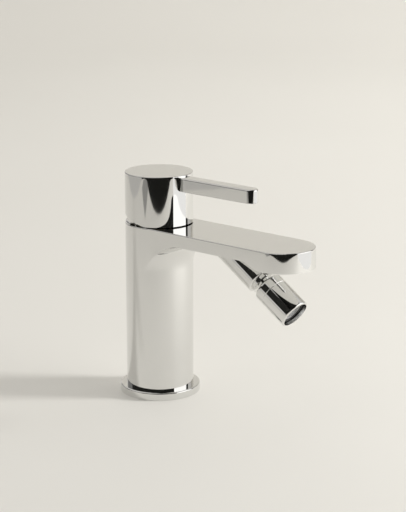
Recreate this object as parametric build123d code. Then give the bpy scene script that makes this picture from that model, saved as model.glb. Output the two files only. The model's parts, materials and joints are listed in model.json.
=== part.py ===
from build123d import *
import math
import os

# Single-lever bidet mixer. Millimetres, +Z up. The origin is the centre of the flange's underside, where it
# stands on the basin's deck. The spout and the lever reach toward -Y, so the body's axis is the Z axis.

# General clearances
seat_gap = 0.05             # radial play of a piece that screws or pushes into its seat
running_gap = 0.06          # radial play of a shaft that turns in its hole
free_gap = 0.3              # space between curved faces that pass each other
water_film = 0.02           # between the two lapped ceramic discs
overrun = 1.0               # how far a cut runs past the face that it opens

# Body
body_radius = 23.0
shelf_height = 118.8        # flat top of the body and the spout
shelf_edge_round = 0.6
body_wall = 3.5             # round the chamber that holds the cartridge
hose_wall = 4.0             # lower down, round the hoses
block_step = 2.5            # the ledge that the inlet block stands on
block_step_height = 6.0
nut_thread_depth = 0.3
nut_height = 7.8            # from the shelf down to the step that the cartridge's nut clamps

# Spout
spout_inset = 1.5           # each side of the spout lies this far inside the round body
spout_tip_centre = 105.0    # from the body's axis to the centre of the round tip
spout_thickness = 8.6
tip_thickness = 13.2
step_start = 87.5           # the underside drops to the thicker tip between these two places
step_end = 103.5
spout_side_blend = 40.0     # plan radius where the flat sides leave the round body
spout_root_blend = 20.0     # radius under the spout where it meets the body
spout_way_width = 18.0      # the water way inside the spout
spout_way_height = 4.0
spout_way_roof = 2.4
spout_way_start = 27.0
feed_radius = 3.0           # slanted hole from the chamber to the spout's water way
feed_drop = 14.8            # from the shelf down to the feed's lower end
feed_low_inset = 1.5
feed_high_reach = 29.0

# Neck and ball joint. Places along the neck are measured from where its axis meets the spout's underside.
neck_angle = 34.0           # below the horizontal
neck_reach = 63.9           # from the body's axis to that meeting point
neck_radius = 10.5
neck_length = 30.1
neck_edge_round = 1.2
neck_bore_radius = 4.0
neck_bore_start = -5.9
nipple_thread_radius = 6.5
nipple_thread_length = 8.0
collar_radius = 8.8
collar_thickness = 2.3
washer_inner_radius = 6.7
washer_outer_radius = 7.6
washer_thickness = 1.2
ball_distance = 38.4        # ball centre from the meeting point, along the neck
ball_radius = 6.8
ball_stem_radius = 4.2
ball_bore_radius = 2.5

# Swivelling outlet. Places along it are measured from the ball's centre.
barrel_radius = 10.5
nut_back = -3.2
nut_back_radius = 8.5
nut_shoulder = -1.4         # the rounded back meets the barrel here
nut_lip_front = -1.0
nut_cavity_radius = 8.4
seam_place = 3.7            # where the swivel nut meets the aerator housing
seam_groove = 0.25
barrel_thread_radius = 9.4
barrel_thread_start = 0.6
mouth_place = 24.4
mouth_round = 1.1
liner_thickness = 0.8
liner_front_angle = 55.0    # from the outlet's axis, seen from the ball's centre
liner_back_angle = 80.0
cavity_front_angle = 39.0
gasket_front_angle = 20.0
gasket_back_angle = 36.0
gasket_radius = 4.6
gasket_front = 8.2
gasket_floor = 8.3
housing_bore_radius = 3.0
aerator_floor = 11.0
aerator_radius = 9.2
aerator_washer_thickness = 1.5
aerator_washer_bore = 5.5
cage_flange_thickness = 1.6
cage_radius = 8.3
cage_wall = 1.0
cage_front = 21.8
cage_floor_thickness = 1.4
cage_hole_radius = 0.7
cage_hole_circle = 4.6
cage_hole_count = 12
screen_thickness = 0.35
screen_spacing = 1.9
screen_bar = 0.5
screen_pitch = 2.0
grid_recess = 0.6
grid_thickness = 2.2
grid_bar = 0.45
grid_pitch = 1.9

# Base ring and its gasket
ring_radius = 27.5
ring_thickness = 5.5
ring_top_round = 1.0
ring_foot_round = 0.5
ring_spigot_height = 5.5
ring_gasket_inner = 20.5
ring_gasket_outer = 25.0
ring_gasket_thickness = 1.8

# Inlet block
block_thickness = 22.0
block_foot_thickness = 10.0  # the foot fills the chamber, and the water rises round the narrower top
inlet_radius = 4.5          # M10 x 1 core
inlet_depth = 10.0
inlet_offset = 8.6
inlet_feed_radius = 3.0
stud_radius = 3.4           # M8 core
stud_depth = 10.0
outlet_hole_radius = 2.6
outlet_offset = 4.0
cross_way_radius = 2.4
cross_way_height = 16.0     # above the block's underside
block_seal_height = 6.0
block_seal_width = 2.4
block_seal_depth = 1.6
port_slant_offset = 6.0     # where the inlet feeds reach the block's top, off the middle
port_forward = 6.0

# Cartridge. Its heights hang from the shelf, and its radii step inward from the chamber.
water_gap = 2.0             # between the chamber and the cartridge
cartridge_base_thickness = 5.0
port_radius = 2.6
port_seal_radius = 4.2
port_seal_thickness = 1.2
housing_wall = 4.1
housing_shoulder = 2.2      # the nut presses on this step
housing_top_drop = 0.2
disc_gap = 0.4
disc_thickness = 3.5
disc_margin = 3.0           # the moving disc is this much smaller in radius than the fixed one
disc_travel = 4.65
mixing_pocket_length = 11.0
mixing_pocket_width = 11.4
mixing_pocket_depth = 2.0
carrier_plate_thickness = 2.5
tongue_width = 10.0
tongue_height = 6.0
tongue_over_ball = 2.5
tongue_play = 0.2
rotor_flange_gap = 0.5
rotor_flange_step = 2.4
rotor_flange_roof = 0.6
rotor_step_gap = 0.3        # from the shelf up to the step that the turning collar sits on
rotor_step_width = 1.0
rotor_seal_drop = 7.0       # from the pivot down to the seal
rotor_seal_width = 1.8
rotor_seal_depth = 1.1
slot_half_width = 3.7
slot_front = 7.6
slot_back = 6.7
window_ceiling_gap = 0.5
pin_radius = 2.0
pin_inset = 0.7
pivot_drop = 3.8            # from the shelf down to the pivot that the lever tilts on
spindle_side = 7.0
spindle_block_drop = 6.0
spindle_block_rise = 31.0
spindle_rod_radius = 1.6
spindle_ball_radius = 2.5
spindle_arm = 18.0          # from the pivot down to the ball that drives the discs
nut_top_drop = 0.5
nut_bore_play = 0.2
nut_spanner_width = 3.0
nut_spanner_depth = 1.5
nut_spanner_count = 6

# Turning collar: the low chromed ring that shows under the rear of the lever cap
collar_height = 1.6
collar_ring_inset = 3.5     # from the body's outside to the narrow front of the collar
collar_rear_inset = 0.2
collar_rear_start = 6.5     # the wide rear part begins this far behind the axis
collar_shoulder = 1.4

# Lever
cap_gap = 0.7               # under the cap's front edge
cap_height = 34.0
cap_wall = 1.8
cap_roof = 2.5
cap_edge_round = 0.6
cap_relief_angle = 15.0     # the skirt is cut on a slope so that the cap can tilt back
cap_relief_start = 6.0      # the slope begins this far in front of the axis
cap_boss_radius = 8.0
cap_boss_gap = 4.3          # between the turning collar's top and the boss
grub_drop = 3.0             # from the spindle's top down to the grub screw
grub_radius = 2.0
grub_hex_radius = 1.1
grub_hex_depth = 2.0
cover_radius = 2.8
cover_thickness = 1.4
arm_width = 10.0
arm_drop = 1.2              # from the cap's top down to the arm's top
arm_height = 9.2
arm_reach = 83.8            # to the end of the half-round tip
arm_top_round = 1.2
arm_foot_round = 0.4
arm_spigot_radius = 3.0
arm_spigot_end = 5.0

# Worked-out places: body and spout
hose_space_radius = body_radius - hose_wall
block_seat_radius = hose_space_radius - block_step
chamber_radius = body_radius - body_wall
nut_thread_radius = chamber_radius + nut_thread_depth
nut_seat_height = shelf_height - nut_height
feed_low_height = shelf_height - feed_drop
feed_low_reach = chamber_radius - feed_low_inset
spout_half = body_radius - spout_inset
spout_underside = shelf_height - spout_thickness
tip_underside = shelf_height - tip_thickness
spout_reach = spout_tip_centre + spout_half

# Worked-out places: cartridge radii, from the chamber inward
cartridge_radius = chamber_radius - water_gap
housing_neck_radius = cartridge_radius - housing_shoulder
housing_inner_radius = cartridge_radius - housing_wall
nut_bore_radius = housing_neck_radius + nut_bore_play
fixed_disc_radius = housing_inner_radius - disc_gap
moving_disc_radius = fixed_disc_radius - disc_margin
rotor_flange_radius = housing_inner_radius - rotor_flange_gap
rotor_radius = rotor_flange_radius - rotor_flange_step
rotor_step_radius = rotor_radius - rotor_step_width
pin_half_length = rotor_radius - pin_inset
collar_ring_radius = body_radius - collar_ring_inset
collar_rear_radius = body_radius - collar_rear_inset

# Worked-out places: cartridge heights, from the shelf down
pivot_height = shelf_height - pivot_drop
spindle_ball_height = pivot_height - spindle_arm
spindle_block_bottom = pivot_height - spindle_block_drop
spindle_top = pivot_height + spindle_block_rise
tongue_top = spindle_ball_height + tongue_over_ball
carrier_top = tongue_top - tongue_height
moving_disc_top = carrier_top - carrier_plate_thickness
moving_disc_bottom = moving_disc_top - disc_thickness
fixed_disc_top = moving_disc_bottom - water_film
base_top = fixed_disc_top - disc_thickness
block_top = base_top - cartridge_base_thickness
block_seat_height = block_top - block_thickness
hose_space_top = block_seat_height - block_step_height
disc_rest = disc_travel / 2
rotor_flange_top = tongue_top + window_ceiling_gap + rotor_flange_roof
rotor_step_height = shelf_height + rotor_step_gap
rotor_top = rotor_step_height + collar_height
rotor_seal_height = pivot_height - rotor_seal_drop
housing_top = shelf_height - housing_top_drop
nut_top = shelf_height - nut_top_drop

# Worked-out places: lever
cap_radius = body_radius
cap_bottom = shelf_height + cap_gap
cap_top = cap_bottom + cap_height
cap_inner_radius = cap_radius - cap_wall
cap_inner_top = cap_top - cap_roof
cap_boss_bottom = rotor_top + cap_boss_gap
grub_height = spindle_top - grub_drop
arm_top = cap_top - arm_drop
arm_middle = arm_top - arm_height / 2


def rod(place, radius, length):
    """A round bar that starts at a frame and runs along its Z."""
    return place * Cylinder(radius, length, align=(Align.CENTER, Align.CENTER, Align.MIN))


def facing(origin, direction):
    """A frame at a point whose Z runs in a direction."""
    return Location(Plane(origin=origin, z_dir=direction))


def cylinder(radius, low, high):
    """An upright cylinder on the body's axis between two heights."""
    return rod(Pos(0, 0, low), radius, high - low)


def tube(outer, inner, low, high):
    """An upright ring between two heights, with its bore run past both faces."""
    return cylinder(outer, low, high) - cylinder(inner, low - overrun, high + overrun)


def block(x0, x1, y0, y1, z0, z1):
    """A box between two corners."""
    return Pos(x0, y0, z0) * Box(x1 - x0, y1 - y0, z1 - z0, align=(Align.MIN, Align.MIN, Align.MIN))


def turned(*points):
    """A solid of revolution round Z from straight runs between (radius, height) points."""
    outline = Polyline(*[(r, 0, z) for r, z in points], close=True)
    return revolve(make_face(outline), Axis.Z)


def along_neck(distance):
    """The place on the neck's axis at this distance from the spout's underside."""
    slope = math.radians(neck_angle)
    return (0, -neck_reach - distance * math.cos(slope), spout_underside - distance * math.sin(slope))


def neck_frame(distance):
    """A frame on the neck's axis whose Z runs outward along the neck and whose X runs across the spout."""
    slope = math.radians(neck_angle)
    outward = (0, -math.cos(slope), -math.sin(slope))
    return Location(Plane(origin=along_neck(distance), x_dir=(1, 0, 0), z_dir=outward))


# Body casting: round body, flat spout with a thicker round tip, and the neck of the outlet

def spout_plan():
    """Plan of the body and the spout: the round body, flat sides blended into it, and a round tip."""
    plan = Circle(body_radius)
    plan += Pos(0, -spout_tip_centre / 2) * Rectangle(spout_half + spout_half, spout_tip_centre)
    plan += Pos(0, -spout_tip_centre) * Circle(spout_half)
    crease_y = -math.sqrt(body_radius**2 - spout_half**2)
    creases = plan.vertices().filter_by(lambda v: abs(v.Y - crease_y) < seat_gap)
    return fillet(creases, spout_side_blend)


def spout_side():
    """Side view of the spout: flat top, thin root, and an underside that swings down to the tip on arcs."""
    middle = ((step_start + step_end) / 2, (spout_underside + tip_underside) / 2)
    first = TangentArc((-step_start, spout_underside), (-middle[0], middle[1]), tangent=(-1, 0))
    second = TangentArc((-step_end, tip_underside), (-middle[0], middle[1]), tangent=(1, 0))
    rest = Polyline(
        (-step_end, tip_underside),
        (-spout_reach - overrun, tip_underside),
        (-spout_reach - overrun, shelf_height),
        (0, shelf_height),
        (0, spout_underside),
        (-step_start, spout_underside),
    )
    face = make_face(first + second + rest)
    return extrude(Plane.YZ * face, body_radius + overrun, both=True)


def root_blend():
    """The trumpet that joins the body to the spout's underside with one radius."""
    edge = body_radius + spout_root_blend
    low = spout_underside - spout_root_blend
    inner = body_radius - overrun
    arc = RadiusArc((edge, spout_underside), (body_radius, low), -spout_root_blend)
    rest = Polyline(
        (body_radius, low), (inner, low), (inner, spout_underside + overrun),
        (edge, spout_underside + overrun), (edge, spout_underside),
    )
    trumpet = revolve(Plane.XZ * make_face(arc + rest), Axis.Z)
    front = block(-edge, edge, -edge, 0, low, spout_underside + overrun)
    return trumpet & front


def body_casting():
    plan = extrude(Pos(0, 0, spout_underside - spout_root_blend) * spout_plan(),
                   shelf_height - spout_underside + spout_root_blend)
    head = plan & (spout_side() + root_blend())
    casting = cylinder(body_radius, ring_thickness, shelf_height) + head
    top = casting.faces().sort_by(Axis.Z)[-1]
    casting = fillet(top.outer_wire().edges(), shelf_edge_round)
    neck_room = block(-body_radius, body_radius, -spout_reach, 0, 0, shelf_height - spout_way_roof)
    neck = rod(neck_frame(-neck_length), neck_radius, neck_length + neck_length)
    neck = fillet(neck.edges().sort_by(Axis.Z)[0], neck_edge_round)
    casting += neck & neck_room
    # Room inside for the hoses, the inlet block, the cartridge and its nut
    casting -= cylinder(hose_space_radius, ring_thickness - overrun, hose_space_top)
    casting -= cylinder(block_seat_radius, ring_thickness, block_seat_height)
    casting -= cylinder(chamber_radius, block_seat_height, nut_seat_height)
    casting -= cylinder(nut_thread_radius, nut_seat_height, shelf_height + overrun)
    # Water ways: up from the chamber, along the spout and down the neck
    way_top = shelf_height - spout_way_roof
    way_middle = way_top - spout_way_height / 2
    run = feed_high_reach - feed_low_reach
    rise = way_middle - feed_low_height
    feed_direction = (0, -run, rise)
    feed_plane = Plane(origin=(0, -feed_low_reach, feed_low_height), x_dir=(1, 0, 0), z_dir=feed_direction)
    casting -= rod(Location(feed_plane), feed_radius, math.hypot(run, rise))
    casting -= block(-spout_way_width / 2, spout_way_width / 2, -neck_reach, -spout_way_start,
                     way_top - spout_way_height, way_top)
    casting -= rod(neck_frame(neck_bore_start), neck_bore_radius, neck_length - neck_bore_start + overrun)
    casting -= rod(neck_frame(neck_length - nipple_thread_length),
                   nipple_thread_radius, nipple_thread_length + overrun)
    return casting


# Base ring and gasket

def base_ring():
    ring = cylinder(ring_radius, 0, ring_thickness)
    ring = fillet(ring.edges().sort_by(Axis.Z)[-1], ring_top_round)
    ring = fillet(ring.edges().sort_by(Axis.Z)[0], ring_foot_round)
    ring += cylinder(hose_space_radius - seat_gap, ring_thickness / 2, ring_thickness + ring_spigot_height)
    ring -= cylinder(block_seat_radius, -overrun, ring_thickness + ring_spigot_height + overrun)
    return ring - tube(ring_gasket_outer, ring_gasket_inner, -overrun, ring_gasket_thickness)


def base_gasket():
    return tube(ring_gasket_outer - seat_gap, ring_gasket_inner + seat_gap, 0, ring_gasket_thickness)


# Inlet block: takes the two hoses and the fixing stud from below and feeds the cartridge above

def inlet_places():
    return [(-1, inlet_offset), (1, inlet_offset)]


def inlet_block():
    low = block_seat_height
    solid = cylinder(chamber_radius - seat_gap, low, low + block_foot_thickness)
    solid += cylinder(cartridge_radius, low, block_top)
    for side, offset in inlet_places():
        solid -= Pos(side * offset, 0, 0) * cylinder(inlet_radius, low - overrun, low + inlet_depth)
        start = Vector(side * offset, 0, low + inlet_depth - overrun)
        end = Vector(side * port_slant_offset, -port_forward, block_top + overrun)
        solid -= rod(facing(start, end - start), inlet_feed_radius, (end - start).length)
    solid -= cylinder(stud_radius, low - overrun, low + stud_depth)
    # The mixed water comes down at the rear, leaves sideways and rises round the cartridge
    cross_way = low + cross_way_height
    solid -= Pos(0, outlet_offset, 0) * cylinder(outlet_hole_radius, cross_way, block_top + overrun)
    solid -= rod(facing((0, outlet_offset, cross_way), (0, 1, 0)), cross_way_radius, chamber_radius)
    groove_low = low + block_seal_height
    return solid - tube(chamber_radius + overrun, chamber_radius - block_seal_depth,
                        groove_low, groove_low + block_seal_width)


def block_seal():
    low = block_seat_height + block_seal_height
    return tube(chamber_radius - seat_gap, chamber_radius - block_seal_depth, low, low + block_seal_width)


# Cartridge

def port_places():
    """The two inlets in front and the outlet behind, in the cartridge's base and its fixed disc."""
    return [(-port_slant_offset, -port_forward), (port_slant_offset, -port_forward), (0, outlet_offset)]


def cartridge_base():
    solid = cylinder(cartridge_radius, block_top, base_top)
    seal_top = block_top + port_seal_thickness
    for x, y in port_places():
        solid -= Pos(x, y, 0) * cylinder(port_radius, block_top - overrun, base_top + overrun)
        solid -= Pos(x, y, 0) * cylinder(port_seal_radius, block_top - overrun, seal_top)
    return solid


def port_seals():
    ring = tube(port_seal_radius - seat_gap, port_radius, block_top, block_top + port_seal_thickness)
    return Compound(children=[Pos(x, y, 0) * ring for x, y in port_places()])


def fixed_disc():
    solid = cylinder(fixed_disc_radius, base_top, fixed_disc_top)
    for x, y in port_places():
        solid -= Pos(x, y, 0) * cylinder(port_radius, base_top - overrun, fixed_disc_top + overrun)
    return solid


def moving_disc():
    """At rest the pocket under this disc joins nothing: it has to slide forward to reach both inlets."""
    solid = Pos(0, disc_rest, 0) * cylinder(moving_disc_radius, moving_disc_bottom, moving_disc_top)
    pocket = block(-mixing_pocket_width / 2, mixing_pocket_width / 2,
                   disc_rest - mixing_pocket_length / 2, disc_rest + mixing_pocket_length / 2,
                   moving_disc_bottom - overrun, moving_disc_bottom + mixing_pocket_depth)
    return solid - pocket


def disc_carrier():
    half = tongue_width / 2
    solid = Pos(0, disc_rest, 0) * cylinder(moving_disc_radius, moving_disc_top, carrier_top)
    solid += block(-half, half, -half, half, carrier_top, tongue_top)
    socket_floor = spindle_ball_height - spindle_ball_radius - free_gap
    return solid - cylinder(spindle_ball_radius + free_gap, socket_floor, tongue_top + overrun)


def cartridge_rotor():
    low = carrier_top + free_gap
    solid = cylinder(rotor_flange_radius, low, rotor_flange_top)
    solid += cylinder(rotor_radius, low, rotor_step_height)
    solid += cylinder(rotor_step_radius, low, rotor_top)
    half = tongue_width / 2 + tongue_play
    window_top = tongue_top + window_ceiling_gap
    solid -= block(-half, half, -half - disc_travel, half, low - overrun, window_top)
    solid -= block(-slot_half_width, slot_half_width, -slot_front, slot_back, low, rotor_top + overrun)
    solid -= cross_bar(pin_radius, rotor_radius)
    return solid - tube(rotor_radius + overrun, rotor_radius - rotor_seal_depth,
                        rotor_seal_height, rotor_seal_height + rotor_seal_width)


def rotor_seal():
    return tube(rotor_radius, rotor_radius - rotor_seal_depth,
                rotor_seal_height, rotor_seal_height + rotor_seal_width)


def cross_bar(radius, half_length):
    """A bar through the pivot, across the body's axis."""
    return facing((0, 0, pivot_height), (1, 0, 0)) * Cylinder(radius, half_length + half_length)


def pivot_pin():
    return cross_bar(pin_radius, pin_half_length)


def cartridge_housing():
    bore = rotor_radius + running_gap
    solid = cylinder(cartridge_radius, base_top, nut_seat_height)
    solid += cylinder(housing_neck_radius, base_top, housing_top)
    solid -= cylinder(housing_inner_radius, base_top - overrun, rotor_flange_top + free_gap)
    return solid - cylinder(bore, base_top, housing_top + overrun)


def cartridge_nut():
    solid = tube(nut_thread_radius - seat_gap, nut_bore_radius, nut_seat_height, nut_top)
    for number in range(nut_spanner_count):
        turn = Rot(0, 0, number * 360 / nut_spanner_count)
        solid -= turn * block(nut_bore_radius - overrun, nut_thread_radius + overrun,
                              -nut_spanner_width / 2, nut_spanner_width / 2,
                              nut_top - nut_spanner_depth, nut_top + overrun)
    return solid


def turning_collar():
    """Ring on top of the rotor, narrow in front where the cap's skirt goes round it, wide at the rear."""
    solid = cylinder(collar_rear_radius, rotor_step_height, rotor_top)
    solid = fillet(solid.edges().sort_by(Axis.Z)[-1], collar_shoulder)
    solid -= cylinder(rotor_step_radius + seat_gap, rotor_step_height - overrun, rotor_top + overrun)
    far = collar_rear_radius + overrun
    front = block(-far, far, -far, collar_rear_start, rotor_step_height - overrun, rotor_top + overrun)
    return solid - (front - cylinder(collar_ring_radius, rotor_step_height - overrun, rotor_top + overrun))


# Lever

def lever_spindle():
    """Square bar that the cap is screwed to, hung on the pivot pin, with a ball that drives the discs."""
    half = spindle_side / 2
    solid = block(-half, half, -half, half, spindle_block_bottom, spindle_top)
    solid += cylinder(spindle_rod_radius, spindle_ball_height, spindle_block_bottom)
    solid += Pos(0, 0, spindle_ball_height) * Sphere(spindle_ball_radius)
    return solid - cross_bar(pin_radius + running_gap, spindle_side)


def lever_cap():
    solid = cylinder(cap_radius, cap_bottom, cap_top)
    solid = fillet(solid.edges().sort_by(Axis.Z)[-1], cap_edge_round)
    solid -= cylinder(cap_inner_radius, cap_bottom - overrun, cap_inner_top)
    solid += cylinder(cap_boss_radius, cap_boss_bottom, cap_inner_top + cap_roof / 2)
    socket = spindle_side / 2 + seat_gap
    solid -= block(-socket, socket, -socket, socket, cap_boss_bottom - overrun, spindle_top + seat_gap)
    # The skirt is cut on a slope, from its front quarter to the back
    slope = math.radians(cap_relief_angle)
    rear = cap_radius + overrun
    rise = (rear + cap_relief_start) * math.tan(slope)
    wedge = Polyline(
        (-cap_relief_start, cap_bottom), (rear, cap_bottom + rise), (rear, cap_bottom - overrun),
        (-cap_relief_start, cap_bottom - overrun), close=True,
    )
    solid -= extrude(Plane.YZ * make_face(wedge), cap_radius + overrun, both=True)
    # Holes for the arm's spigot in front and for the grub screw behind
    solid -= rod(facing((0, -arm_spigot_end, arm_middle), (0, -1, 0)), arm_spigot_radius, cap_radius)
    solid -= rod(facing((0, 0, grub_height), (0, 1, 0)), grub_radius, cap_radius - overrun)
    cover_hole = facing((0, cap_inner_radius - overrun, grub_height), (0, 1, 0))
    return solid - rod(cover_hole, cover_radius, cap_wall + overrun + overrun)


def lever_arm():
    """Flat bar on edge with a half-round tip and rounded edges, on a round spigot."""
    half = arm_width / 2
    bar = block(-half, half, half - arm_reach, 0, arm_top - arm_height, arm_top)
    bar += Pos(0, half - arm_reach, 0) * cylinder(half, arm_top - arm_height, arm_top)
    for place, size in ((-1, arm_top_round), (0, arm_foot_round)):
        rim = bar.faces().sort_by(Axis.Z)[place].edges()
        bar = fillet(rim.sort_by(lambda edge: edge.center().Y)[:-1], size)
    bar -= cylinder(cap_radius, arm_top - arm_height - overrun, arm_top + overrun)
    spigot_length = cap_radius + half - arm_spigot_end
    return bar + rod(facing((0, -arm_spigot_end, arm_middle), (0, -1, 0)), arm_spigot_radius, spigot_length)


def grub_screw():
    start = spindle_side / 2
    length = cap_boss_radius - start
    screw = rod(facing((0, start, grub_height), (0, 1, 0)), grub_radius, length)
    socket = facing((0, cap_boss_radius - grub_hex_depth, grub_height), (0, 1, 0))
    return screw - socket * extrude(RegularPolygon(grub_hex_radius, 6), grub_hex_depth + overrun)


def screw_cover():
    """Chromed plug that closes the grub screw's hole flush with the round cap."""
    seat = facing((0, cap_radius - cover_thickness, grub_height), (0, 1, 0))
    plug = rod(seat, cover_radius - seat_gap, cover_thickness + overrun)
    return plug & cylinder(cap_radius, grub_height - cap_height, grub_height + cap_height)


# Ball joint

def ball_nipple():
    stem_start = neck_length - nipple_thread_length
    collar_end = neck_length + collar_thickness
    solid = rod(neck_frame(stem_start), nipple_thread_radius - seat_gap, nipple_thread_length)
    solid += rod(neck_frame(neck_length), collar_radius, collar_thickness)
    solid += rod(neck_frame(neck_length), ball_stem_radius, ball_distance - neck_length)
    solid += neck_frame(ball_distance) * Sphere(ball_radius)
    groove = cylinder(washer_outer_radius, 0, washer_thickness)
    groove -= cylinder(washer_inner_radius, 0, washer_thickness)
    solid -= neck_frame(neck_length) * groove
    through = collar_end - stem_start + ball_distance
    return solid - rod(neck_frame(stem_start - overrun), ball_bore_radius, through)


def nipple_washer():
    return neck_frame(neck_length) * tube(
        washer_outer_radius - seat_gap, washer_inner_radius + seat_gap, 0, washer_thickness)


# Swivelling outlet: every piece is turned round the outlet's axis, with the ball's centre at zero

def placed(solid):
    return neck_frame(ball_distance) * solid


def polar(radius, degrees):
    """(radius, height) of a point on a sphere round the ball's centre, this angle off the outlet's axis."""
    angle = math.radians(degrees)
    return (radius * math.sin(angle), radius * math.cos(angle))


def ball_liner():
    """Spherical zone of low-friction plastic in front of the ball's equator."""
    inner = ball_radius + free_gap
    outer = inner + liner_thickness
    middle_angle = (liner_front_angle + liner_back_angle) / 2
    points = [polar(inner, liner_front_angle), polar(inner, liner_back_angle),
              polar(outer, liner_back_angle), polar(outer, liner_front_angle)]
    inside = ThreePointArc(points[0], polar(inner, middle_angle), points[1])
    outside = ThreePointArc(points[2], polar(outer, middle_angle), points[3])
    face = make_face(inside + Line(points[1], points[2]) + outside + Line(points[3], points[0]))
    return placed(revolve(Plane.XZ * face, Axis.Z))


def ball_gasket():
    """Rubber ring that seals on the front of the ball."""
    inner = ball_radius + free_gap
    back = polar(inner, gasket_back_angle)
    front = polar(inner, gasket_front_angle)
    middle = polar(inner, (gasket_back_angle + gasket_front_angle) / 2)
    corner = back[1] + free_gap
    outline = ThreePointArc(back, middle, front)
    rest = Polyline(
        front, (front[0], gasket_front), (gasket_radius, gasket_front), (gasket_radius, corner), back)
    return placed(revolve(Plane.XZ * make_face(outline + rest), Axis.Z))


def swivel_nut():
    """Holds the ball from behind with a lip narrower than the ball, and screws onto the aerator housing."""
    grip = ball_radius + free_gap
    mouth = math.sqrt(grip**2 - nut_back**2)
    lip_front = math.sqrt(grip**2 - nut_lip_front**2)
    lip_middle = (nut_back + nut_lip_front) / 2
    lip = ThreePointArc((mouth, nut_back), (math.sqrt(grip**2 - lip_middle**2), lip_middle),
                        (lip_front, nut_lip_front))
    thread = barrel_thread_radius
    rest = Polyline(
        (lip_front, nut_lip_front), (nut_cavity_radius, nut_lip_front),
        (nut_cavity_radius, barrel_thread_start), (thread, barrel_thread_start), (thread, seam_place),
        (barrel_radius - seam_groove, seam_place), (barrel_radius, seam_place - seam_groove),
        (barrel_radius, nut_shoulder),
    )
    shoulder = TangentArc((barrel_radius, nut_shoulder), (nut_back_radius, nut_back), tangent=(0, -1))
    back = Line((nut_back_radius, nut_back), (mouth, nut_back))
    return placed(revolve(Plane.XZ * make_face(lip + rest + shoulder + back), Axis.Z))


def aerator_housing():
    cavity = ball_radius + free_gap + liner_thickness + free_gap
    start = (math.sqrt(cavity**2 - barrel_thread_start**2), barrel_thread_start)
    end = polar(cavity, cavity_front_angle)
    middle = polar(cavity, (cavity_front_angle + 90) / 2)
    seat = gasket_radius + free_gap
    thread = barrel_thread_radius - seat_gap
    dome = ThreePointArc(start, middle, end)
    inside = Polyline(
        end, (seat, end[1]), (seat, gasket_floor), (housing_bore_radius, gasket_floor),
        (housing_bore_radius, aerator_floor), (aerator_radius, aerator_floor), (aerator_radius, mouth_place),
        (barrel_radius - mouth_round, mouth_place),
    )
    rim = TangentArc((barrel_radius, mouth_place - mouth_round), (barrel_radius - mouth_round, mouth_place),
                     tangent=(0, 1))
    outside = Polyline(
        (barrel_radius, mouth_place - mouth_round), (barrel_radius, seam_place + seam_groove),
        (barrel_radius - seam_groove, seam_place), (thread, seam_place), (thread, barrel_thread_start), start,
    )
    return placed(revolve(Plane.XZ * make_face(dome + inside + rim + outside), Axis.Z))


def aerator_washer():
    low = aerator_floor
    return placed(tube(aerator_radius - seat_gap, aerator_washer_bore, low, low + aerator_washer_thickness))


cage_back = aerator_floor + aerator_washer_thickness
cage_bore = cage_radius - cage_wall


def aerator_cage():
    """Plastic cup with a pierced floor, which holds the screens and the outlet grid."""
    cup = tube(aerator_radius - seat_gap, cage_bore, cage_back, cage_back + cage_flange_thickness)
    cup += tube(cage_radius, cage_bore, cage_back, cage_front)
    floor_top = cage_back + cage_floor_thickness
    floor = cylinder(cage_bore, cage_back, floor_top)
    for number in range(cage_hole_count):
        spot = Rot(0, 0, number * 360 / cage_hole_count) * Pos(cage_hole_circle, 0, 0)
        floor -= spot * cylinder(cage_hole_radius, cage_back - overrun, floor_top + overrun)
    return placed(cup + floor)


def mesh_disc(radius, low, high, bar, pitch):
    """A round grid of crossed bars inside a rim as wide as two bars."""
    rim = radius - bar - bar
    count = int(rim / pitch)
    net = tube(radius, rim, low, high)
    for number in range(-count, count + 1):
        half = math.sqrt(rim**2 - (number * pitch)**2) + bar
        across = block(-half, half, number * pitch - bar / 2, number * pitch + bar / 2, low, high)
        net += across
        net += Rot(0, 0, 90) * across
    return net


def aerator_screens():
    first = cage_back + cage_floor_thickness + screen_spacing
    second = first + screen_thickness + screen_spacing
    radius = cage_bore - seat_gap
    discs = [
        placed(mesh_disc(radius, low, low + screen_thickness, screen_bar, screen_pitch))
        for low in (first, second)
    ]
    return Compound(children=discs)


def aerator_grid():
    high = cage_front - grid_recess
    return placed(mesh_disc(cage_bore - seat_gap, high - grid_thickness, high, grid_bar, grid_pitch))


os.makedirs("parts", exist_ok=True)
makers = (
    body_casting, base_ring, base_gasket, inlet_block, block_seal,
    cartridge_base, port_seals, fixed_disc, moving_disc, disc_carrier, cartridge_rotor, rotor_seal,
    pivot_pin, cartridge_housing, cartridge_nut, turning_collar,
    lever_spindle, lever_cap, lever_arm, grub_screw, screw_cover,
    ball_nipple, nipple_washer, ball_liner, ball_gasket, swivel_nut, aerator_housing,
    aerator_washer, aerator_cage, aerator_screens, aerator_grid,
)
for maker in makers:
    export_step(maker(), f"parts/{maker.__name__}.step")
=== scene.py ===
import json
import math

import bmesh
import bpy
import numpy as np
from mathutils import Matrix, Vector


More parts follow.
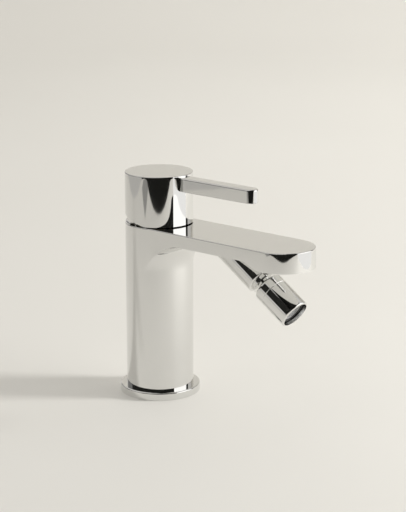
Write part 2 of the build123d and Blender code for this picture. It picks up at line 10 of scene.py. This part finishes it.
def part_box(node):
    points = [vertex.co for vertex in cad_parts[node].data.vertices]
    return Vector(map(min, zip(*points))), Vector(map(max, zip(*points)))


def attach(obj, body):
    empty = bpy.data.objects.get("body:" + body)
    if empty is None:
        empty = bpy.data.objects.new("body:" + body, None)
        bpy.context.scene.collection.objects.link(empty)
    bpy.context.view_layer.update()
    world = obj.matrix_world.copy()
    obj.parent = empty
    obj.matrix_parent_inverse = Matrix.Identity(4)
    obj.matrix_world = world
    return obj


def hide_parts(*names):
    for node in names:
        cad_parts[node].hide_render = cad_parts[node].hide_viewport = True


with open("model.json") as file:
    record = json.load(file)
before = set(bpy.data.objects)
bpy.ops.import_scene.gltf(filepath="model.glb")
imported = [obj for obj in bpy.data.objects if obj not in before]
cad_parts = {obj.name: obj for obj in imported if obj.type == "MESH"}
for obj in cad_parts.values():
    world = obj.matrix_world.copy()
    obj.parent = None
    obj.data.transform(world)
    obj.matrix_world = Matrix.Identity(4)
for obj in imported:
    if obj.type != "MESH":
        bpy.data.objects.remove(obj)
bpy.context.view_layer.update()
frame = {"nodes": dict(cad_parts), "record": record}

# The photograph's camera, found by fitting the mixer's outlines. Metres and degrees.
PHOTO_HEIGHT = 512
CAMERA_AZIMUTH = 49.64      # 0 looks along +Y, and it turns towards +X
CAMERA_PITCH = 14.51        # looking down
CAMERA_DISTANCE = 1.09746
AIM_RIGHT = 0.02954         # the point aimed at, to the camera's right of the body's axis
AIM_HEIGHT = 0.09444
FOCAL_PIXELS = 1615.84
SENSOR_HEIGHT = 24.0
CLIP_START = 0.05
CLIP_END = 60.0

# The studio is laid out from the body's axis: right is the camera's right, front is towards
# the camera. Directions are degrees from the front, growing to the camera's right.
TABLE_FRONT = 0.58
TABLE_LEFT = 0.645
TABLE_RIGHT = 3.0
TABLE_BACK = 1.75           # here the backdrop starts to curve up
BACKDROP_RADIUS = 1.2
BACKDROP_HEIGHT = 3.0
BACKDROP_ROWS = 24
LOWER_FLOOR_DROP = 0.75     # the room's floor, below the table's top
LOWER_FLOOR_HALF = 14.0     # half the side of that floor
FRONT_FLOOR_DROP = LOWER_FLOOR_DROP / 2
CURTAIN_RADIUS = 1.8        # a dark curtain stands behind the camera
CURTAIN_LEFT = -58.0
CURTAIN_RIGHT = 50.0
CURTAIN_POINTS = 25
CEILING_HEIGHT = 1.5        # it carries on overhead, as far as a slanted edge
CEILING_EDGE_LEFT = (-1.42, 1.85)
CEILING_EDGE_RIGHT = (0.95, -0.42)
SIDE_CURTAIN_LEFT = -112.0  # a band of it runs on to the left, above the table
SIDE_WALL_LEFT = -150.0     # and ends in a wall that glows a dim grey: painted light, though it is no lamp
SIDE_LOW = 0.16
SIDE_HIGH = 0.80
# how strongly that side wall glows: its grey is painted light, not lit by a lamp
SIDE_WALL_STRENGTH = 0.20
SOFTBOX_RIGHT = 0.50        # a white softbox stands on the table to the right
SOFTBOX_BACK = -0.095
SOFTBOX_FRONT = 0.43
SOFTBOX_SIDE = 0.10         # width of the black strip behind it
SOFTBOX_HEIGHT = 0.55
SOFTBOX_SKIRT = 0.07        # below this it is dimmer
SOFTBOX_STRENGTH = 1.5
SOFTBOX_SKIRT_STRENGTH = 0.95
PLATE_LEFT = -0.58          # a flat grey plate lies on the table, at the left front
PLATE_RIGHT = -0.40
PLATE_BACK = 0.385
PLATE_HEIGHT = 0.001

# Each lamp's place (right, front, height), size and power, and whether it casts shadows
LAMPS = {
    "key_lamp": ((2.4, 0.08, 0.80), 0.45, 58.0, True),      # far off, to the right
    "fill_lamp": ((1.5, -1.6, 2.0), 1.2, 26.0, False),      # high up behind, to the right
    "front_lamp": ((-0.7, 0.7, 1.4), 1.2, 4.5, False),      # over the left front
}
PANEL_COLOUR = (1.0, 0.99, 0.97)
WORLD_COLOUR = (1.0, 0.975, 0.93)
WORLD_STRENGTH = 0.62

# A finish drifts between two colours and two roughnesses, by a noise pattern of the given
# scale. The last number is how metallic it is.
TABLE_FINISH = ("pale_table", (0.733, 0.715, 0.669), (0.753, 0.735, 0.689), 0.6, 0.7, 3.0, 0.0)
FLOOR_FINISH = ("room_floor", (0.70, 0.695, 0.68), (0.74, 0.735, 0.72), 0.8, 0.9, 2.0, 0.0)
CURTAIN_FINISH = ("black_cloth", (0.010, 0.010, 0.009), (0.014, 0.014, 0.012), 0.8, 0.9, 2.0, 0.0)
PLATE_FINISH = ("grey_plate", (0.35, 0.345, 0.33), (0.38, 0.375, 0.36), 0.5, 0.6, 3.0, 0.0)
SLOT_FINISHES = {
    "chrome": ("polished_chrome", (0.78, 0.78, 0.77), (0.81, 0.81, 0.80), 0.02, 0.05, 45.0, 1.0),
    "raw_brass": ("machined_brass", (0.66, 0.50, 0.25), (0.74, 0.58, 0.31), 0.22, 0.34, 400.0, 1.0),
    "steel": ("turned_steel", (0.56, 0.56, 0.55), (0.64, 0.64, 0.63), 0.22, 0.34, 500.0, 1.0),
    "white_plastic": (
        "white_plastic", (0.78, 0.78, 0.75), (0.83, 0.83, 0.80), 0.38, 0.48, 300.0, 0.0),
    "grey_plastic": (
        "grey_plastic", (0.20, 0.21, 0.22), (0.25, 0.26, 0.27), 0.38, 0.48, 300.0, 0.0),
    "low_friction_plastic": (
        "smooth_plastic", (0.80, 0.80, 0.77), (0.86, 0.86, 0.83), 0.24, 0.30, 300.0, 0.0),
    "dark_plastic": (
        "dark_plastic", (0.008, 0.008, 0.008), (0.015, 0.015, 0.015), 0.38, 0.48, 300.0, 0.0),
    "grid_plastic": (
        "grid_plastic", (0.36, 0.36, 0.36), (0.46, 0.46, 0.46), 0.22, 0.32, 400.0, 0.0),
    "black_rubber": (
        "black_rubber", (0.015, 0.015, 0.015), (0.03, 0.03, 0.03), 0.55, 0.70, 350.0, 0.0),
    "disc_ceramic": (
        "lapped_ceramic", (0.84, 0.83, 0.80), (0.88, 0.87, 0.84), 0.12, 0.20, 300.0, 0.0),
}

# The mixer's own sizes, which the eased walls follow
SPOUT_TOP = 0.1188
SPOUT_HALF_WIDTH = 0.0215
SPOUT_TIP_CENTRE = -0.105
SPOUT_EASE_HEIGHT = 0.012   # the spout's walls lean in from this far below its top
SPOUT_LEAN = 0.00017
SPOUT_EDGE_LEAN = 0.00006
BODY_FRONT = -0.020         # behind this the walls stay upright
BODY_BLEND = 0.010
CAP_EASE_HEIGHT = 0.006
CAP_EDGE_LEAN = 0.00006
EDGE_POWER = 12             # a higher one keeps the edge's lean closer to the edge
EASED_RIM = 0.001           # only what lies this close to the outline moves
EASED_ROWS = 13
MERGE_DISTANCE = 1e-7       # of the copies' points, and of the ring cuts too

UP = (0.0, 0.0, 1.0)


def camera_axes():
    """The camera's right and forward directions, laid flat on the table."""
    azimuth = math.radians(CAMERA_AZIMUTH)
    right = Vector((math.cos(azimuth), -math.sin(azimuth), 0.0))
    forward = Vector((math.sin(azimuth), math.cos(azimuth), 0.0))
    return right, forward


def make_camera():
    """Stands the photograph's camera where it sees the mixer as the photograph does."""
    right, forward = camera_axes()
    pitch = math.radians(CAMERA_PITCH)
    look = forward * math.cos(pitch) + Vector((0.0, 0.0, -math.sin(pitch)))
    up = right.cross(look)
    aim = right * AIM_RIGHT + Vector((0.0, 0.0, AIM_HEIGHT))
    data = bpy.data.cameras.new("photo_camera")
    data.sensor_fit = "VERTICAL"
    data.sensor_height = SENSOR_HEIGHT
    data.lens = FOCAL_PIXELS * SENSOR_HEIGHT / PHOTO_HEIGHT
    data.clip_start = CLIP_START
    data.clip_end = CLIP_END
    camera = bpy.data.objects.new("photo_camera", data)
    bpy.context.scene.collection.objects.link(camera)
    turn = Matrix((right, up, -look)).transposed().to_4x4()
    camera.matrix_world = Matrix.Translation(aim - look * CAMERA_DISTANCE) @ turn
    bpy.context.scene.camera = camera


# Materials

def new_material(name):
    """An empty material, with its node tree and its shader."""
    material = bpy.data.materials.new(name)
    material.use_nodes = True
    shader = material.node_tree.nodes["Principled BSDF"]
    return material, material.node_tree, shader


def noise(tree, scale):
    """A noise pattern on the piece's own coordinates."""
    where = tree.nodes.new("ShaderNodeTexCoord")
    pattern = tree.nodes.new("ShaderNodeTexNoise")
    pattern.inputs["Scale"].default_value = scale
    tree.links.new(where.outputs["Object"], pattern.inputs["Vector"])
    return pattern.outputs["Fac"]


def between(tree, factor, low, high):
    """Maps a 0 to 1 pattern to a range of numbers."""
    spread = tree.nodes.new("ShaderNodeMapRange")
    spread.inputs["To Min"].default_value = low
    spread.inputs["To Max"].default_value = high
    tree.links.new(factor, spread.inputs["Value"])
    return spread.outputs["Result"]


def tint(tree, factor, first, second):
    """Mixes two colours by a pattern."""
    mix = tree.nodes.new("ShaderNodeMix")
    mix.data_type = "RGBA"
    mix.inputs["A"].default_value = (*first, 1.0)
    mix.inputs["B"].default_value = (*second, 1.0)
    tree.links.new(factor, mix.inputs["Factor"])
    return mix.outputs["Result"]


def finish(name, first, second, rough_low, rough_high, scale, metallic):
    """A material whose colour and roughness drift a little over the piece."""
    material, tree, shader = new_material(name)
    shader.inputs["Metallic"].default_value = metallic
    pattern = noise(tree, scale)
    tree.links.new(tint(tree, pattern, first, second), shader.inputs["Base Color"])
    tree.links.new(between(tree, pattern, rough_low, rough_high), shader.inputs["Roughness"])
    return material


def glowing(name, strength):
    """A plain white material that gives off light."""
    material, _, shader = new_material(name)
    shader.inputs["Base Color"].default_value = (0.0, 0.0, 0.0, 1.0)
    shader.inputs["Emission Color"].default_value = (*PANEL_COLOUR, 1.0)
    shader.inputs["Emission Strength"].default_value = strength
    return material


def dress_nodes():
    """Gives every CAD node the finish of its slot."""
    finishes = {slot: finish(*values) for slot, values in SLOT_FINISHES.items()}
    slots = {part["node"]: part["material_slot"] for part in frame["record"]["subparts"]}
    for name, piece in frame["nodes"].items():
        piece.data.materials.clear()
        piece.data.materials.append(finishes[slots[name]])


# Walls eased by polishing

def from_spine(places):
    """Each point's way out from the spout's middle line, and how far it is eased.

    The line runs from the body's axis to the centre of the round tip. The share is 1 on the
    spout's walls, falls to 0 as they reach the body, and is 0 inside the outline.
    """
    out = places[:, :2].copy()
    out[:, 1] -= np.clip(out[:, 1], SPOUT_TIP_CENTRE, 0.0)
    reach = np.linalg.norm(out, axis=1)
    share = np.clip((BODY_FRONT - places[:, 1]) / BODY_BLEND, 0.0, 1.0)
    share = share * (reach > SPOUT_HALF_WIDTH - EASED_RIM)
    return out / np.maximum(reach, EASED_RIM)[:, None], share


def from_axis(places):
    """Each point's way out from the body's axis, and 1 if it lies on the outer wall or 0."""
    out = places[:, :2]
    reach = np.linalg.norm(out, axis=1)
    share = 1.0 * (reach > reach.max() - EASED_RIM)
    return out / np.maximum(reach, EASED_RIM)[:, None], share


def read_vectors(items, field):
    """A numpy table with the vector of each item of a mesh."""
    values = np.empty(len(items) * 3, np.float32)
    items.foreach_get(field, values)
    return values.reshape(-1, 3)


def ringed_copy(source, top, height):
    """A merged copy of a CAD mesh in its place, cut into level rings, and its corner normals.

    The rings crowd towards the top. The normals are carried through the cuts as an
    attribute, because the cuts would lose them.
    """
    mesh = source.data.copy()
    mesh.transform(source.matrix_world)
    normals = read_vectors(mesh.corner_normals, "vector")
    exact = mesh.attributes.new("exact", "FLOAT_VECTOR", "CORNER")
    exact.data.foreach_set("vector", normals.ravel())
    form = bmesh.new()
    form.from_mesh(mesh)
    bmesh.ops.remove_doubles(form, verts=form.verts, dist=MERGE_DISTANCE)
    for step in np.linspace(1.0, 0.0, EASED_ROWS)[:-1]:
        level = top - height * step ** 2
        bmesh.ops.bisect_plane(form, geom=form.verts[:] + form.edges[:] + form.faces[:],
                               dist=MERGE_DISTANCE, plane_co=(0.0, 0.0, level), plane_no=UP)
    form.to_mesh(mesh)
    form.free()
    normals = read_vectors(mesh.attributes["exact"].data, "vector")
    mesh.attributes.remove(mesh.attributes["exact"])
    return mesh, normals


def eased_copy(node, body, top, height, outward, edge_lean, lean=0.0):
    """A copy of a CAD piece whose outer walls lean in towards their top.

    At the share s of the way up the eased height, a wall moves in by lean times s squared
    plus edge_lean times s to the edge power, and its normal tilts up by that curve's slope.
    """
    mesh, normals = ringed_copy(frame["nodes"][node], top, height)
    places = read_vectors(mesh.vertices, "co")
    corners = np.empty(len(mesh.loops), np.int32)
    mesh.loops.foreach_get("vertex_index", corners)
    way, share = outward(places)
    rise = np.clip((places[:, 2] - top + height) / height, 0.0, 1.0)
    slope = 2.0 * lean * rise + EDGE_POWER * edge_lean * rise ** (EDGE_POWER - 1)
    tilt = share * slope / height
    normals[:, 2] += tilt[corners] * np.sum(normals[:, :2] * way[corners], axis=1)
    normals /= np.linalg.norm(normals, axis=1)[:, None]
    moved_in = share * (lean * rise ** 2 + edge_lean * rise ** EDGE_POWER)
    places[:, :2] -= way * moved_in[:, None]
    mesh.vertices.foreach_set("co", places.ravel())
    mesh.update()
    mesh.normals_split_custom_set(normals.tolist())
    piece = bpy.data.objects.new(node + "_polished", mesh)
    bpy.context.scene.collection.objects.link(piece)
    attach(piece, body)
    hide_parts(node)


def ease_walls():
    """The spout's walls lean in over their upper part, and the cap's only at their edge."""
    cap_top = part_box("lever_cap")[1][2]
    eased_copy("body_casting", "fixed", SPOUT_TOP, SPOUT_EASE_HEIGHT, from_spine,
               SPOUT_EDGE_LEAN, SPOUT_LEAN)
    eased_copy("lever_cap", "lever", cap_top, CAP_EASE_HEIGHT, from_axis, CAP_EDGE_LEAN)


# Table, backdrop and light

def grid_mesh(name, points):
    """A mesh from a rows by columns by 3 array of points, one four-sided face per cell."""
    rows, columns, _ = points.shape
    index = np.arange(rows * columns).reshape(rows, columns)
    cells = [index[:-1, :-1], index[1:, :-1], index[1:, 1:], index[:-1, 1:]]
    faces = np.stack(cells, axis=-1).reshape(-1, 4)
    mesh = bpy.data.meshes.new(name)
    mesh.from_pydata(points.reshape(-1, 3).tolist(), [], faces.tolist())
    mesh.update()
    piece = bpy.data.objects.new(name, mesh)
    bpy.context.scene.collection.objects.link(piece)
    return piece


def table_top():
    """The table and the backdrop in one sheet.

    It runs flat from the front edge to the backdrop's foot, then rises on a quarter circle
    and an upright wall.
    """
    right, forward = camera_axes()
    bend = np.linspace(0.0, math.pi / 2, BACKDROP_ROWS)
    curve_along = TABLE_BACK + BACKDROP_RADIUS * np.sin(bend)
    curve_height = BACKDROP_RADIUS * (1 - np.cos(bend))
    along = np.concatenate([[-TABLE_FRONT, 0.0], curve_along, [TABLE_BACK + BACKDROP_RADIUS]])
    height = np.concatenate([[0.0, 0.0], curve_height, [BACKDROP_HEIGHT]])
    across = np.array([-TABLE_LEFT, 0.0, TABLE_RIGHT])
    points = (across[None, :, None] * np.array(right)
              + along[:, None, None] * np.array(forward)
              + height[:, None, None] * np.array(UP))
    top = grid_mesh("table_top", points)
    top.data.shade_smooth()
    return top


def lower_floor():
    """The room's floor, a large square below the table."""
    points = np.array([[(x, y, -LOWER_FLOOR_DROP) for x in (-LOWER_FLOOR_HALF, LOWER_FLOOR_HALF)]
                       for y in (-LOWER_FLOOR_HALF, LOWER_FLOOR_HALF)])
    return grid_mesh("lower_floor", points)


def on_table(right_of_axis, in_front, height):
    """A point given by its distances to the right of the axis, in front of it and up."""
    right, forward = camera_axes()
    return right * right_of_axis - forward * in_front + Vector((0.0, 0.0, height))


def hidden_piece(name, rows, material):
    """A piece of the studio that shows in reflections but not to the camera itself.

    Its rows hold points in the form (right, front, height).
    """
    points = [[on_table(*point) for point in row] for row in rows]
    piece = grid_mesh(name, np.array(points))
    piece.data.materials.append(material)
    piece.visible_camera = False
    piece.visible_shadow = False


def level_quad(name, left, right, start, end, height, material):
    """A level rectangle, which spans left to right and two distances in front of the axis."""
    rows = [[(left, start, height), (right, start, height)],
            [(left, end, height), (right, end, height)]]
    hidden_piece(name, rows, material)


def curtain_arc(start, end):
    """Points on the curtain's circle between two directions, as right and front distances."""
    angles = np.radians(np.linspace(start, end, CURTAIN_POINTS))
    return [(CURTAIN_RADIUS * math.sin(angle), CURTAIN_RADIUS * math.cos(angle))
            for angle in angles]


def arc_wall(name, start, end, low, high, material):
    """An upright piece of the curtain's circle, between two directions and two heights."""
    arc = curtain_arc(start, end)
    hidden_piece(name, [[(*point, height) for point in arc] for height in (low, high)], material)


def dark_curtain(black, grey):
    """The curtain behind the camera, its ceiling, and the band to its left, which ends in a wall
    painted with a dim grey glow.

    The ceiling is flat, and runs from the curtain's top to a straight slanted edge.
    """
    arc_wall("curtain_wall", CURTAIN_LEFT, CURTAIN_RIGHT, -LOWER_FLOOR_DROP, CEILING_HEIGHT, black)
    arc_wall("side_curtain", SIDE_CURTAIN_LEFT, CURTAIN_LEFT, SIDE_LOW, SIDE_HIGH, black)
    # painted light: this side wall glows a dim grey itself, though it is no lamp
    arc_wall("side_wall", SIDE_WALL_LEFT, SIDE_CURTAIN_LEFT, SIDE_LOW, SIDE_HIGH, grey)
    edge_left = np.array(CEILING_EDGE_LEFT)
    edge_right = np.array(CEILING_EDGE_RIGHT)
    edge = [edge_left + (edge_right - edge_left) * share
            for share in np.linspace(0.0, 1.0, CURTAIN_POINTS)]
    rows = [[(*point, CEILING_HEIGHT) for point in row]
            for row in (curtain_arc(CURTAIN_LEFT, CURTAIN_RIGHT), edge)]
    hidden_piece("curtain_roof", rows, black)


def softbox_strip(name, back, front, low, high, material):
    """An upright strip in the softbox's plane."""
    rows = [[(SOFTBOX_RIGHT, back, height), (SOFTBOX_RIGHT, front, height)]
            for height in (low, high)]
    hidden_piece(name, rows, material)


def softbox(foot, white, black):
    """A bright panel with a dimmer skirt, and a black strip behind it from the skirt up."""
    softbox_strip("softbox_skirt", SOFTBOX_BACK, SOFTBOX_FRONT, 0.0, SOFTBOX_SKIRT, foot)
    softbox_strip("softbox_panel", SOFTBOX_BACK, SOFTBOX_FRONT,
                  SOFTBOX_SKIRT, SOFTBOX_HEIGHT, white)
    softbox_strip("softbox_side", SOFTBOX_BACK - SOFTBOX_SIDE, SOFTBOX_BACK,
                  SOFTBOX_SKIRT, SOFTBOX_HEIGHT, black)


def make_stage():
    """Builds the table with its backdrop, the floors, and what the chrome reflects."""
    top = table_top()
    top.data.materials.append(finish(*TABLE_FINISH))
    lower = lower_floor()
    lower.data.materials.append(finish(*FLOOR_FINISH))
    black = finish(*CURTAIN_FINISH)
    level_quad("front_floor", -CURTAIN_RADIUS, CURTAIN_RADIUS, TABLE_FRONT, 2 * CURTAIN_RADIUS,
               -FRONT_FLOOR_DROP, black)
    # the side wall's grey is painted light: a dim glow of its own, not a lamp
    dark_curtain(black, glowing("side_wall_grey_glow", SIDE_WALL_STRENGTH))
    level_quad("plate", PLATE_LEFT, PLATE_RIGHT, TABLE_FRONT, PLATE_BACK,
               PLATE_HEIGHT, finish(*PLATE_FINISH))
    softbox(glowing("softbox_foot", SOFTBOX_SKIRT_STRENGTH),
            glowing("softbox_white", SOFTBOX_STRENGTH), black)


def lamp(name, place, size, power, casts):
    """A square area lamp that points at the mixer and isn't seen in the chrome itself."""
    data = bpy.data.lights.new(name, "AREA")
    data.size = size
    data.energy = power
    data.use_shadow = casts
    piece = bpy.data.objects.new(name, data)
    bpy.context.scene.collection.objects.link(piece)
    piece.location = place
    towards = Vector((0.0, 0.0, AIM_HEIGHT)) - place
    piece.rotation_euler = towards.to_track_quat("-Z", "Y").to_euler()
    piece.visible_glossy = False


def make_light():
    """Lights the studio with an even warm world and the lamps."""
    world = bpy.data.worlds.new("studio")
    bpy.context.scene.world = world
    world.use_nodes = True
    background = world.node_tree.nodes["Background"]
    background.inputs["Color"].default_value = (*WORLD_COLOUR, 1.0)
    background.inputs["Strength"].default_value = WORLD_STRENGTH
    bpy.context.scene.view_settings.view_transform = "Standard"
    for name, (place, size, power, casts) in LAMPS.items():
        lamp(name, on_table(*place), size, power, casts)


make_camera()
dress_nodes()
ease_walls()
make_stage()
make_light()
